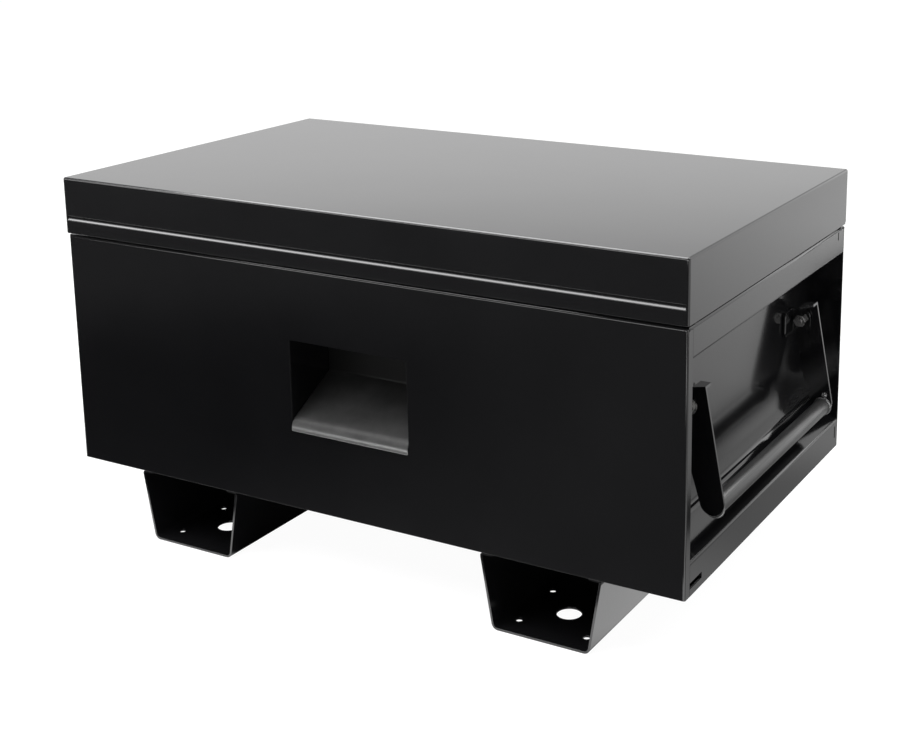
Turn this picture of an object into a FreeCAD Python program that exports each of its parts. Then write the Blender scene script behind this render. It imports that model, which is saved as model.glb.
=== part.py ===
import FreeCAD, Part
import os
import re
import Sketcher

# Jobsite storage box: a welded steel chest on two skid channels, with a lid on a piano
# hinge, a recessed padlock pocket and a drop handle in a recess at each end.
# Millimetres. +X to the right, +Y to the rear, +Z up, z = 0 where the skids rest.

SIZES = [
    # lid
    ("side_step", "1.3", "how far the lid's ends stand out past the body"),
    ("lid_depth", "474.5", "outside, front to rear"),
    ("lid_height", "68", "depth of the lid's flanges"),
    ("lid_sheet", "1.5", "lid sheet thickness"),
    ("lid_corner", "3", "outside radius of the lid's upright corners"),
    ("lid_edge", "2.5", "outside radius round the lid's top"),
    ("lid_return", "11", "inward return along the lower edge"),
    ("lid_gap", "2", "seam between the body's ledge and the lid's return"),
    ("bead_rise", "19", "bead centre above the lid's lower edge"),
    ("bead_width", "6", "width of the bead pressed into the lid's front"),
    ("bead_depth", "1.4", "depth of that bead"),
    ("bead_end", "3.5", "plain stretch between the bead and the lid's end"),
    ("hat_spread", "400", "distance between the lid's two stiffeners"),
    ("hat_height", "12", "stiffener height"),
    ("hat_crown", "40", "stiffener crown width"),
    ("hat_flange", "12", "stiffener flange width"),
    ("hat_sheet", "1.2", "stiffener sheet thickness"),
    ("hat_clearance", "14", "stiffener end to the lid's flange"),
    # body
    ("body_width", "810.4", "outside, left to right"),
    ("body_height", "284", "floor to the top ledge"),
    ("panel_sheet", "1.5", "body sheet thickness"),
    ("front_step", "2.55", "how far the lid's front stands out past the body"),
    ("ledge_width", "14", "ledge folded inwards along the body's top"),
    ("lip_height", "12", "weather lip standing on the ledge"),
    ("shoulder_radius", "4", "outside radius where a panel folds into its ledge"),
    ("lip_bend", "1", "inside radius at the foot of the weather lip"),
    ("floor_flange", "15", "flange round the floor pan"),
    ("corner_return", "11.5", "front panel folded round onto the body's side"),
    ("corner_radius", "2.5", "outside radius of that upright corner"),
    # end recesses
    ("recess_depth", "39.2", "recess wall behind the end strips"),
    ("strip_low", "36", "plain strip under the recess"),
    ("strip_high", "34", "plain strip above the recess"),
    ("slope_rise", "19", "height of the sloping edge of the recess"),
    ("recess_bend", "10", "radius between the recess wall and its slope"),
    ("strip_bend", "2", "inside radius between strip and slope"),
    ("slot_width", "2.5", "width of the drain slots in the strips"),
    ("slot_high", "10", "length of the slot in the upper strip"),
    ("slot_low", "15", "length of the slot in the lower strip"),
    ("slot_high_inset", "21", "upper slot from the back panel"),
    ("slot_low_inset", "9", "lower slot from the back panel"),
    ("slot_high_drop", "4", "upper slot's top below the ledge"),
    ("slot_low_rise", "13", "lower slot above the floor"),
    ("front_slot_length", "30", "level slot at the front of the lower strip"),
    ("front_slot_width", "6.5", "its width"),
    ("front_slot_rise", "8", "its height above the floor"),
    # padlock pocket
    ("pocket_width", "157", "opening width"),
    ("pocket_low", "98", "lower edge of the panel's opening above the floor"),
    ("pocket_high", "200", "upper edge of the opening above the floor"),
    ("pocket_depth", "70.7", "front panel to the pocket's back wall"),
    ("pocket_ceiling", "262", "ceiling above the floor"),
    ("pocket_knee", "144", "top of the pocket's sloping floor"),
    ("pocket_slope", "28.5", "slope of the pocket's floor, degrees"),
    ("pocket_lip_end", "93.5", "lower edge of the rolled lip above the floor"),
    ("pocket_lip_radius", "14", "outside radius of the rolled lip"),
    ("pocket_sheet", "1.5", "pocket sheet thickness"),
    ("pocket_play", "0.3", "clearance round the pocket sheet"),
    ("pocket_knee_radius", "3", "inside radius between back wall and floor"),
    # hasp
    ("hasp_width", "40", "width of the tongue and of the eye plate"),
    ("hasp_sheet", "4", "their thickness"),
    ("hasp_inset", "30", "front panel to the tongue"),
    ("hasp_gap", "1.5", "tongue to eye plate"),
    ("hasp_end", "198", "lower end of both above the floor"),
    ("hasp_leg", "28", "length of their welded legs"),
    ("hasp_bend", "2", "inside radius of their bends"),
    ("hasp_corner", "10", "corner radius at the lower end"),
    ("eye_rise", "15", "eye centre above the lower end"),
    ("eye_diameter", "13", "hole for the padlock shackle"),
    ("hasp_slot_front", "10", "room in front of the tongue for its swing"),
    ("hasp_slot_side", "2", "room at the tongue's sides and rear"),
    # skids
    ("skid_height", "86.5", "height of the skid channels"),
    ("skid_side", "166.2", "middle of a skid from the body's side"),
    ("skid_top_width", "146.5", "width under the box"),
    ("skid_foot_width", "117", "width of the foot"),
    ("skid_sheet", "2.5", "skid sheet thickness"),
    ("skid_bend", "8", "outside radius at the foot"),
    ("skid_flange", "15", "welded flange turned inwards under the box"),
    ("skid_fold", "1.5", "inside radius at that flange"),
    ("skid_inset", "0.7", "skid end behind the front panel's face"),
    ("caster_spacing_x", "82.5", "caster holes, left to right"),
    ("caster_spacing_y", "76", "caster holes, front to rear"),
    ("caster_hole", "8", "caster hole diameter"),
    ("caster_inset", "66", "middle of a caster pattern from the skid's end"),
    ("access_hole", "28", "large hole in the middle of a caster pattern"),
    # piano hinge
    ("pin_diameter", "3.2", "hinge pin"),
    ("pin_play", "0.05", "radial clearance on the pin"),
    ("leaf_sheet", "1.5", "hinge leaf thickness"),
    ("leaf_width", "30", "hinge leaf, pin to edge"),
    ("leaf_relief", "0.5", "leaf edge to the other leaf's knuckles"),
    ("knuckle_length", "49.5", "length of one knuckle"),
    ("knuckle_gap", "0.5", "gap between neighbouring knuckles"),
    ("hinge_margin", "6.5", "hinge end to the lid's end"),
    ("hinge_rise", "1", "pin above the body's ledge"),
    # lid stay
    ("stay_reach", "120", "pivot to pivot, and each pivot to the hinge pin"),
    ("stay_drop", "35", "body pivot below the hinge pin, degrees"),
    ("stay_lift", "15", "lid pivot above the hinge pin, degrees"),
    ("stay_bar", "20", "width of the flat bars"),
    ("stay_sheet", "3", "thickness of the flat bars"),
    ("stay_play", "0.3", "gap between neighbouring plates"),
    ("stay_pad", "40", "size of the plate that carries the body pivot"),
    ("stay_foot", "22", "welded leg of the lid bracket"),
    ("stay_foot_width", "30", "width of the lid bracket"),
    ("stay_fold", "2", "inside radius of the lid bracket"),
    ("rivet_diameter", "8", "pivot rivets"),
    ("rivet_head", "15", "rivet head diameter"),
    ("rivet_head_height", "2.3", "rivet head height"),
    ("rivet_play", "0.08", "radial clearance on the rivets"),
    # drop handles
    ("pivot_gap", "12.5", "pivot out from the recess wall"),
    ("pivot_height", "180", "pivot above the floor"),
    ("arm_spread", "336", "distance between the two arms' middles"),
    ("arm_sheet", "3", "arm thickness"),
    ("arm_outer", "21.5", "pivot to the arm's outer edge"),
    ("arm_inner", "10.5", "pivot to the arm's inner edge"),
    ("arm_lean", "10.42", "lean of the arms at rest, degrees"),
    ("arm_reach", "103.5", "pivot to the middle of the rounded end"),
    ("arm_end_radius", "13.5", "radius of the rounded end"),
    ("arm_straight", "62", "pivot to the start of the taper"),
    ("arm_shoulder", "2.5", "pivot to the inner end of the sloping top"),
    ("arm_top_radius", "10.5", "radius where the sloping top meets the inner edge"),
    ("tab_rise", "19.8", "pivot to the top of the stop tab"),
    ("tab_length", "22", "length of the stop tab along its inner edge"),
    ("tab_inner", "6.7", "pivot to the tab's inner edge"),
    ("tab_slant", "7", "how much shorter the tab is along its outer edge"),
    ("grip_diameter", "19", "grip tube"),
    ("grip_wall", "1.5", "grip tube wall"),
    ("grip_offset", "9", "grip middle out from the pivot line"),
    ("grip_reach", "109", "grip middle below the pivot"),
    ("bolt_diameter", "8", "pivot bolt"),
    ("bolt_flats", "13", "bolt head and nut across flats"),
    ("bolt_head", "5.3", "bolt head height, flange included"),
    ("bolt_flange", "18", "diameter of the flange under the bolt head"),
    ("flange_height", "1.5", "thickness of that flange"),
    ("nut_height", "6.5", "nut height"),
    ("bolt_tail", "2", "bolt end past the nut"),
    ("bolt_play", "0.08", "radial clearance of an arm on its bolt"),
    ("bolt_seat", "0.02", "radial clearance in the parts that stand still"),
    ("washer_diameter", "16", "washer"),
    ("washer_height", "1.5", "washer thickness"),
    ("ear_radius", "12", "rounded end of the bracket's ear"),
    ("ear_sheet", "3", "bracket thickness"),
    ("ear_half", "14", "half the height of the bracket's base"),
    ("ear_base", "28", "length of the bracket's base"),
    # cuts and full-round ends
    ("overcut", "1", "how far an open-ended cut runs past the sheet"),
    ("round_relief", "0.05", "flat left on each side of a full-round end"),
]

# Places that follow from the sizes above.
PLACES = [
    ("body_half", "body_width / 2"),
    ("lid_width", "body_width + 2 * side_step"),
    ("skid_x", "body_half - skid_side"),
    ("recess_wall", "body_half - recess_depth"),
    ("floor_z", "skid_height"),
    ("ledge_z", "floor_z + body_height"),
    ("lip_z", "ledge_z + lip_height"),
    ("lid_z", "ledge_z + lid_gap"),
    ("top_z", "lid_z + lid_height"),
    ("knuckle_radius", "pin_diameter / 2 + leaf_sheet"),
    ("hinge_overhang", "2 * knuckle_radius - lid_sheet - leaf_sheet"),
    ("lid_front", "-(lid_depth + hinge_overhang) / 2"),
    ("lid_back", "lid_front + lid_depth"),
    ("body_front", "lid_front + front_step"),
    ("body_back", "lid_back - lid_sheet - leaf_sheet"),
    ("body_middle", "(body_front + body_back) / 2"),
    ("body_depth", "body_back - body_front"),
    ("hinge_y", "body_back + knuckle_radius"),
    ("hinge_z", "ledge_z + hinge_rise"),
    ("hinge_length", "lid_width - 2 * hinge_margin"),
    ("slope_turn", "atan(recess_depth / slope_rise)"),
    ("slope_shift", "panel_sheet * tan(slope_turn / 2)"),
    ("pocket_back", "body_front + pocket_depth"),
    ("lip_face", "body_front - pocket_play - pocket_sheet"),
    ("lip_corner", "floor_z + pocket_knee - (pocket_back - lip_face) * tan(pocket_slope)"),
    ("pocket_under", "pocket_sheet / cos(pocket_slope)"),
    ("tongue_front", "body_front + hasp_inset"),
    ("eye_plate_front", "tongue_front + hasp_sheet + hasp_gap"),
    ("web_lean", "atan((skid_top_width - skid_foot_width) / 2 / skid_height)"),
    ("web_level", "skid_sheet / cos(web_lean)"),
    ("caster_front", "body_front + skid_inset + caster_inset"),
    ("caster_back", "body_back - skid_inset - caster_inset"),
    ("hex_corner", "bolt_flats / sqrt(3)"),
    ("pivot_x", "recess_wall + pivot_gap"),
    ("pivot_z", "floor_z + pivot_height"),
    ("arm_front", "body_middle - arm_spread / 2 - arm_sheet / 2"),
    ("ear_front", "arm_front + arm_sheet + washer_height"),
    ("nut_front", "ear_front + ear_sheet"),
    ("stay_wall", "-(recess_wall - panel_sheet)"),
    ("body_link_x", "stay_wall + stay_sheet + stay_play"),
    ("lid_link_x", "body_link_x + stay_sheet + stay_play"),
    ("lid_bracket_x", "lid_link_x + stay_sheet + stay_play"),
    ("stay_body_y", "hinge_y - stay_reach * cos(stay_drop)"),
    ("stay_body_z", "hinge_z - stay_reach * sin(stay_drop)"),
    ("stay_lid_y", "hinge_y - stay_reach * cos(stay_lift)"),
    ("stay_lid_z", "hinge_z + stay_reach * sin(stay_lift)"),
    ("stay_knee_y", "stay_body_y + stay_lid_y - hinge_y"),
    ("stay_knee_z", "stay_body_z + stay_lid_z - hinge_z"),
]

doc = FreeCAD.newDocument("storage_box")
sheet = doc.addObject("Spreadsheet::Sheet", "sizes")
parts = []


def fill_sheet():
    rows = [(name, value) for name, value, note in SIZES]
    rows += [(name, "=" + formula) for name, formula in PLACES]
    for row, (name, value) in enumerate(rows, 1):
        sheet.set(f"A{row}", name)
        sheet.set(f"B{row}", value)
        sheet.setAlias(f"B{row}", name)
    for row, (name, value, note) in enumerate(SIZES, 1):
        sheet.set(f"C{row}", note)
    doc.recompute()


def bound(text):
    """The same formula with each size read from the sheet."""
    return re.sub(r"\b[a-z]\w*\b(?!\()", lambda word: "sizes." + word.group(), str(text))


def number(text):
    return float(sheet.evalExpression(bound(text)))


def drive(target, **formulas):
    for field, text in formulas.items():
        target.setExpression(field.replace("__", "."), bound(text))


# Sketches. Every corner is dimensioned from the sketch's origin by a formula.

def sketch_on(body, role, offset="0"):
    plane = next(one for one in body.Origin.OriginFeatures if one.Role == role)
    sketch = body.newObject("Sketcher::SketchObject", body.Name + "_sketch")
    sketch.AttachmentSupport = [(plane, "")]
    sketch.MapMode = "FlatFace"
    sketch.setExpression("AttachmentOffset.Base.z", bound(offset))
    return sketch


def hold_point(sketch, line, end, across, up):
    for kind, axis, text in (("DistanceX", -2, across), ("DistanceY", -1, up)):
        if text == "0":
            sketch.addConstraint(Sketcher.Constraint("PointOnObject", line, end, axis))
        else:
            rule = Sketcher.Constraint(kind, -1, 1, line, end, number(text))
            index = sketch.addConstraint(rule)
            sketch.setExpression(f"Constraints[{index}]", bound(text))


def polygon(sketch, corners):
    first = sketch.GeometryCount
    points = [FreeCAD.Vector(number(across), number(up), 0) for across, up in corners]
    for start, end in zip(points, points[1:] + points[:1]):
        sketch.addGeometry(Part.LineSegment(start, end))
    for index, (across, up) in enumerate(corners):
        after = first + (index + 1) % len(corners)
        sketch.addConstraint(Sketcher.Constraint("Coincident", first + index, 2, after, 1))
        hold_point(sketch, first + index, 1, across, up)


def rectangle(sketch, left, low, right, high):
    polygon(sketch, [(left, low), (right, low), (right, high), (left, high)])


def circle(sketch, across, up, diameter):
    middle = FreeCAD.Vector(number(across), number(up), 0)
    radius = number(diameter) / 2
    line = sketch.addGeometry(Part.Circle(middle, FreeCAD.Vector(0, 0, 1), radius))
    index = sketch.addConstraint(Sketcher.Constraint("Diameter", line, 2 * radius))
    sketch.setExpression(f"Constraints[{index}]", bound(diameter))
    hold_point(sketch, line, 3, across, up)


def rounding(sketch, across, up, radius, way_across, way_up):
    """The sliver between a square corner and its rounding, to be cut away."""
    start, end = f"{across} {way_across} {radius}", f"{up} {way_up} {radius}"
    corner = FreeCAD.Vector(number(across), number(up), 0)
    first = FreeCAD.Vector(number(start), number(up), 0)
    last = FreeCAD.Vector(number(across), number(end), 0)
    centre = FreeCAD.Vector(number(start), number(end), 0)
    toward = corner - centre
    on_arc = centre + toward * (number(radius) / toward.Length)
    arc = Part.Arc(first, on_arc, last)
    line = sketch.addGeometry(Part.LineSegment(last, corner))
    sketch.addGeometry(Part.LineSegment(corner, first))
    bend = sketch.addGeometry(arc)
    ends = (1, 2) if (sketch.getPoint(bend, 1) - first).Length < TOUCH else (2, 1)
    sketch.addConstraint(Sketcher.Constraint("Coincident", line, 2, line + 1, 1))
    sketch.addConstraint(Sketcher.Constraint("Coincident", line + 1, 2, bend, ends[0]))
    sketch.addConstraint(Sketcher.Constraint("Coincident", bend, ends[1], line, 1))
    hold_point(sketch, line, 1, across, end)
    hold_point(sketch, line + 1, 1, across, up)
    hold_point(sketch, line + 1, 2, start, up)
    index = sketch.addConstraint(Sketcher.Constraint("Radius", bend, number(radius)))
    sketch.setExpression(f"Constraints[{index}]", bound(radius))


# Features. A sketch on the XZ plane looks along -Y, so its pads grow to the front.

def new_body(name):
    body = doc.addObject("PartDesign::Body", name)
    body.Label = name
    return body


def pad(body, sketch, length, side="Symmetric", reverse=False):
    feature = body.newObject("PartDesign::Pad", body.Name + "_pad")
    feature.Profile = sketch
    feature.SideType = side
    feature.Reversed = reverse
    drive(feature, Length=length)
    doc.recompute()
    return feature


def pocket(body, sketch, length=None, side="Symmetric", reverse=False):
    before = body.Shape.Volume
    feature = body.newObject("PartDesign::Pocket", body.Name + "_pocket")
    feature.Profile = sketch
    feature.SideType = side
    feature.Reversed = reverse
    if length is None:
        feature.Type = "ThroughAll"
    else:
        drive(feature, Length=length)
    doc.recompute()
    if body.Shape.Volume > before - TOUCH:
        raise RuntimeError(feature.Name + " cuts nothing")
    return feature


def edges_along(shape, axis, places):
    """Names of the straight edges parallel to an axis that pass one of the places."""
    others = [index for index in range(3) if index != axis]
    wanted = [[number(text) for text in place] for place in places]
    names = []
    for index, edge in enumerate(shape.Edges, 1):
        ends = [vertex.Point for vertex in edge.Vertexes]
        if len(ends) < 2:
            continue
        middle = (ends[0] + ends[-1]) / 2
        straight = all(abs(ends[0][k] - ends[-1][k]) < TOUCH for k in others)
        near = any(abs(middle[others[0]] - place[0]) < TOUCH
                   and abs(middle[others[1]] - place[1]) < TOUCH for place in wanted)
        if straight and near:
            names.append(f"Edge{index}")
    return names


def round_along(body, axis, radius, *places):
    base = body.Tip
    feature = body.newObject("PartDesign::Fillet", body.Name + "_fillet")
    feature.Base = (base, edges_along(base.Shape, axis, places))
    drive(feature, Radius=radius)
    doc.recompute()
    return feature


def extruded(name, role, corners, length, offset="0", side="Symmetric", reverse=False):
    body = new_body(name)
    sketch = sketch_on(body, role, offset)
    polygon(sketch, corners)
    pad(body, sketch, length, side, reverse)
    return body


def node(thing, label=None):
    if label:
        thing.Label = label
    parts.append(thing)
    return thing


def mirrored(name, source, across_x=False, show=True):
    """The same piece on the other end of the box, or at the other end of its handle."""
    twin = doc.addObject("Part::Mirroring", name)
    twin.Source = source
    twin.Normal = FreeCAD.Vector(1, 0, 0) if across_x else FreeCAD.Vector(0, 1, 0)
    if not across_x:
        drive(twin, Base__y="body_middle")
    twin.Label = name
    return node(twin) if show else twin


def group(name, *members):
    both = doc.addObject("Part::Compound", name)
    both.Links = list(members)
    both.Label = name
    return both


X, Y, Z = 0, 1, 2
TOUCH = 0.01


# Body panels.

def wall_panel(name, face, way):
    """A front or back panel: upright sheet, folded into the ledge and the weather lip."""
    inner = f"{face} {way} panel_sheet"
    foot = f"{face} {way} ledge_width"
    foot_inner = f"{face} {way} (ledge_width + panel_sheet)"
    under = "ledge_z - panel_sheet"
    body = extruded(name, "YZ_Plane", [
        (face, "floor_z"), (face, "ledge_z"), (foot, "ledge_z"), (foot, "lip_z"),
        (foot_inner, "lip_z"), (foot_inner, under), (inner, under), (inner, "floor_z"),
    ], "body_width")
    round_along(body, X, "shoulder_radius", (face, "ledge_z"))
    round_along(body, X, "shoulder_radius - panel_sheet", (inner, under))
    round_along(body, X, "lip_bend", (foot, "ledge_z"))
    round_along(body, X, "lip_bend + panel_sheet", (foot_inner, under))
    ends = sketch_on(body, "XZ_Plane")
    for left, right in (("body_half - ledge_width", "body_half + overcut"),
                        ("-body_half - overcut", "ledge_width - body_half")):
        rectangle(ends, left, "ledge_z", right, "lip_z + overcut")
    pocket(body, ends)
    return body


def front_panel():
    """The front panel is folded round both upright corners onto the body's sides."""
    body = wall_panel("front_panel", "body_front", "+")
    returns = sketch_on(body, "XY_Plane", "floor_z")
    edge = "body_front + corner_return"
    rectangle(returns, "body_half - panel_sheet", "body_front", "body_half", edge)
    rectangle(returns, "-body_half", "body_front", "panel_sheet - body_half", edge)
    pad(body, returns, "body_height - shoulder_radius", "One side")
    corners = sketch_on(body, "XY_Plane", "floor_z")
    rounding(corners, "body_half", "body_front", "corner_radius", "-", "+")
    rounding(corners, "-body_half", "body_front", "corner_radius", "+", "+")
    pocket(body, corners, "body_height", "One side", reverse=True)
    opening = sketch_on(body, "XZ_Plane")
    rectangle(opening, "-pocket_width / 2", "floor_z + pocket_low",
              "pocket_width / 2", "floor_z + pocket_high")
    pocket(body, opening)
    node(body)


def back_panel():
    node(wall_panel("back_panel", "body_back", "-"))


def low_slots(cuts):
    """Drain slots through the lower strip and the floor pan's flange behind it."""
    slot = "body_back - slot_low_inset"
    rectangle(cuts, f"{slot} - slot_width", "floor_z + slot_low_rise",
              slot, "floor_z + slot_low_rise + slot_low")
    slot = "body_front + corner_return"
    rectangle(cuts, slot, "floor_z + front_slot_rise",
              f"{slot} + front_slot_length", "floor_z + front_slot_rise + front_slot_width")


def end_panels():
    """Strip, slope, recess wall, slope and strip in one folded sheet."""
    strip_in, wall_in = "body_half - panel_sheet", "recess_wall - panel_sheet"
    foot = "body_half - ledge_width"
    foot_in = "body_half - ledge_width - panel_sheet"
    under = "ledge_z - panel_sheet"
    low, low_wall = "floor_z + strip_low", "floor_z + strip_low + slope_rise"
    high, high_wall = "ledge_z - strip_high", "ledge_z - strip_high - slope_rise"
    body = extruded("right_end_panel", "XZ_Plane", [
        ("body_half", "floor_z"), ("body_half", low), ("recess_wall", low_wall),
        ("recess_wall", high_wall), ("body_half", high), ("body_half", "ledge_z"),
        (foot, "ledge_z"), (foot, "lip_z"), (foot_in, "lip_z"), (foot_in, under),
        (strip_in, under), (strip_in, high + " + slope_shift"),
        (wall_in, high_wall + " + slope_shift"), (wall_in, low_wall + " - slope_shift"),
        (strip_in, low + " - slope_shift"), (strip_in, "floor_z"),
    ], "body_depth - 2 * panel_sheet", offset="-body_middle")
    round_along(body, Y, "recess_bend", ("recess_wall", low_wall), ("recess_wall", high_wall))
    round_along(body, Y, "recess_bend + panel_sheet",
                (wall_in, low_wall + " - slope_shift"), (wall_in, high_wall + " + slope_shift"))
    round_along(body, Y, "strip_bend + panel_sheet", ("body_half", low), ("body_half", high))
    round_along(body, Y, "strip_bend",
                (strip_in, low + " - slope_shift"), (strip_in, high + " + slope_shift"))
    round_along(body, Y, "shoulder_radius", ("body_half", "ledge_z"))
    round_along(body, Y, "shoulder_radius - panel_sheet", (strip_in, under))
    round_along(body, Y, "lip_bend", (foot, "ledge_z"))
    round_along(body, Y, "lip_bend + panel_sheet", (foot_in, under))
    cuts = sketch_on(body, "YZ_Plane")
    for face, way in (("body_front", "+"), ("body_back", "-")):
        bend_end = f"{face} {way} shoulder_radius"
        corner = f"{face} {way} (ledge_width + panel_sheet)"
        polygon(cuts, [
            (face, "ledge_z - shoulder_radius"), (bend_end, "ledge_z - shoulder_radius"),
            (bend_end, under), (corner, under), (corner, "lip_z + overcut"), (face, "lip_z + overcut"),
        ])
    slot = "body_back - slot_high_inset"
    rectangle(cuts, f"{slot} - slot_width", "ledge_z - slot_high_drop - slot_high",
              slot, "ledge_z - slot_high_drop")
    low_slots(cuts)
    pocket(body, cuts)
    front_edge = sketch_on(body, "XY_Plane", "floor_z")
    rectangle(front_edge, strip_in, "body_front", "body_half + overcut", "body_front + corner_return")
    pocket(body, front_edge, "body_height - shoulder_radius", "One side", reverse=True)
    node(body)
    mirrored("left_end_panel", body, across_x=True)


def floor_panel():
    """A shallow pan whose flanges are welded to the four walls."""
    side, front, back = "body_half - panel_sheet", "body_front + panel_sheet", "body_back - panel_sheet"
    body = new_body("floor_panel")
    plan = sketch_on(body, "XY_Plane", "floor_z")
    rectangle(plan, f"-({side})", front, side, back)
    pad(body, plan, "floor_flange", "One side")
    inside = sketch_on(body, "XY_Plane", "floor_z + panel_sheet")
    rectangle(inside, f"panel_sheet - ({side})", f"{front} + panel_sheet",
              f"{side} - panel_sheet", f"{back} - panel_sheet")
    pocket(body, inside, "floor_flange", "One side", reverse=True)
    slots = sketch_on(body, "YZ_Plane")
    low_slots(slots)
    pocket(body, slots)
    node(body)


# Padlock pocket and hasp.

def pocket_wrap():
    """Ceiling, back wall, sloping floor and rolled lip, folded from one sheet."""
    ceiling = "floor_z + pocket_ceiling"
    inner = "body_front + panel_sheet"
    behind = "pocket_back + pocket_sheet"
    lip_in = "lip_face + pocket_sheet"
    lip_in_corner = "lip_corner + pocket_sheet * tan(pocket_slope) - pocket_under"
    knee = "floor_z + pocket_knee"
    knee_behind = f"{knee} + pocket_sheet * tan(pocket_slope) - pocket_under"
    body = extruded("pocket_wrap", "YZ_Plane", [
        (inner, ceiling), ("pocket_back", ceiling), ("pocket_back", knee),
        ("lip_face", "lip_corner"), ("lip_face", "floor_z + pocket_lip_end"),
        (lip_in, "floor_z + pocket_lip_end"), (lip_in, lip_in_corner),
        (behind, knee_behind), (behind, ceiling + " + pocket_sheet"),
        (inner, ceiling + " + pocket_sheet"),
    ], "pocket_width - 2 * pocket_play")
    round_along(body, X, "pocket_lip_radius", ("lip_face", "lip_corner"))
    round_along(body, X, "pocket_lip_radius - pocket_sheet", (lip_in, lip_in_corner))
    round_along(body, X, "pocket_knee_radius", ("pocket_back", knee), ("pocket_back", ceiling))
    round_along(body, X, "pocket_knee_radius + pocket_sheet", (behind, knee_behind),
                (behind, ceiling + " + pocket_sheet"))
    slot = sketch_on(body, "XY_Plane", ceiling)
    rectangle(slot, "-hasp_width / 2 - hasp_slot_side", "tongue_front - hasp_slot_front",
              "hasp_width / 2 + hasp_slot_side", "eye_plate_front - hasp_gap / 4")
    pocket(body, slot, "pocket_sheet", "One side", reverse=True)
    node(body)


def pocket_cheeks():
    ceiling = "floor_z + pocket_ceiling + pocket_sheet"
    inner, behind = "body_front + panel_sheet", "pocket_back + pocket_sheet"
    under = "floor_z + pocket_knee - pocket_under"
    body = extruded("right_pocket_cheek", "YZ_Plane", [
        (inner, ceiling), (behind, ceiling),
        (behind, f"{under} + pocket_sheet * tan(pocket_slope)"),
        (inner, f"{under} - (pocket_depth - panel_sheet) * tan(pocket_slope)"),
    ], "pocket_sheet", offset="pocket_width / 2", side="One side")
    node(body)
    mirrored("left_pocket_cheek", body, across_x=True)


def strap(name, face, top, low):
    """A flat strap with one leg bent to the rear at its top and an eye at its lower end."""
    back, leg_end = f"{face} + hasp_sheet", f"{face} + hasp_leg"
    body = extruded(name, "YZ_Plane", [
        (face, low), (face, top), (leg_end, top), (leg_end, f"{top} - hasp_sheet"),
        (back, f"{top} - hasp_sheet"), (back, low),
    ], "hasp_width")
    round_along(body, X, "hasp_bend + hasp_sheet", (face, top))
    round_along(body, X, "hasp_bend", (back, f"{top} - hasp_sheet"))
    round_along(body, Y, "hasp_corner", ("hasp_width / 2", low), ("-hasp_width / 2", low))
    eye = sketch_on(body, "XZ_Plane")
    circle(eye, "0", f"{low} + eye_rise", "eye_diameter")
    pocket(body, eye)
    return body


def hasp():
    low = "floor_z + hasp_end"
    node(strap("hasp_tongue", "tongue_front", "top_z - lid_sheet", low))
    node(strap("lock_eye_plate", "eye_plate_front", "floor_z + pocket_ceiling", low))


# Skid channels.

def skids():
    foot, top = "skid_foot_width / 2", "skid_top_width / 2"
    lean = "skid_sheet * tan(web_lean)"
    foot_in, top_in = f"{foot} + {lean} - web_level", f"{top} - {lean} - web_level"
    under, edge = "skid_height - skid_sheet", f"{top} - skid_flange"
    right = [(foot, "0"), (top, "skid_height"), (edge, "skid_height"), (edge, under),
             (top_in, under), (foot_in, "skid_sheet")]
    left = [(f"-({across})", up) for across, up in reversed(right)]
    body = extruded("right_skid", "XZ_Plane", right + left,
                    "body_depth - 2 * skid_inset", offset="-body_middle")
    round_along(body, Y, "skid_bend", (foot, "0"), (f"-({foot})", "0"))
    round_along(body, Y, "skid_bend - skid_sheet", (foot_in, "skid_sheet"),
                (f"-({foot_in})", "skid_sheet"))
    round_along(body, Y, "skid_sheet + skid_fold", (top, "skid_height"), (f"-({top})", "skid_height"))
    holes = sketch_on(body, "XY_Plane")
    for middle in ("caster_front", "caster_back"):
        circle(holes, "0", middle, "access_hole")
        for side in ("-", ""):
            for step in ("-", "+"):
                circle(holes, f"{side}caster_spacing_x / 2",
                       f"{middle} {step} caster_spacing_y / 2", "caster_hole")
    pocket(body, holes, "skid_sheet", "One side", reverse=True)
    drive(body, Placement__Base__x="skid_x")
    node(body)
    mirrored("left_skid", body, across_x=True)


# Piano hinge: two leaves in one plane, their knuckles in turn along the pin.

def hinge_leaf(name, way, first):
    clear = "knuckle_radius + leaf_relief"
    inner, outer = "body_back", "body_back + leaf_sheet"
    reach = "2 * knuckle_length + 2 * knuckle_gap"
    body = extruded(name, "YZ_Plane", [
        (inner, f"hinge_z {way} leaf_width"), (outer, f"hinge_z {way} leaf_width"),
        (outer, f"hinge_z {way} ({clear})"), (inner, f"hinge_z {way} ({clear})"),
    ], "hinge_length")
    start = f"{first} - hinge_length / 2"
    neck = sketch_on(body, "YZ_Plane", start)
    rectangle(neck, inner, f"hinge_z {way} ({clear})", outer, "hinge_z")
    neck_pad = pad(body, neck, "knuckle_length", "One side")
    ring = sketch_on(body, "YZ_Plane", start)
    circle(ring, "hinge_y", "hinge_z", "2 * knuckle_radius")
    ring_pad = pad(body, ring, "knuckle_length", "One side")
    row = body.newObject("PartDesign::LinearPattern", name + "_row")
    row.Originals = [neck_pad, ring_pad]
    row.Direction = (ring, ["N_Axis"])
    row.Mode = "Spacing"
    drive(row, Offset=reach, Occurrences=f"floor(hinge_length / ({reach}))")
    body.Tip = row
    doc.recompute()
    bore = sketch_on(body, "YZ_Plane")
    circle(bore, "hinge_y", "hinge_z", "pin_diameter + 2 * pin_play")
    pocket(body, bore)
    node(body)


def hinge():
    hinge_leaf("hinge_body_leaf", "-", "0")
    hinge_leaf("hinge_lid_leaf", "+", "knuckle_length + knuckle_gap")
    pin = rod("hinge_pin", "hinge_y", "hinge_z", "-hinge_length / 2", "hinge_length", "pin_diameter")
    node(pin)


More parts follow.
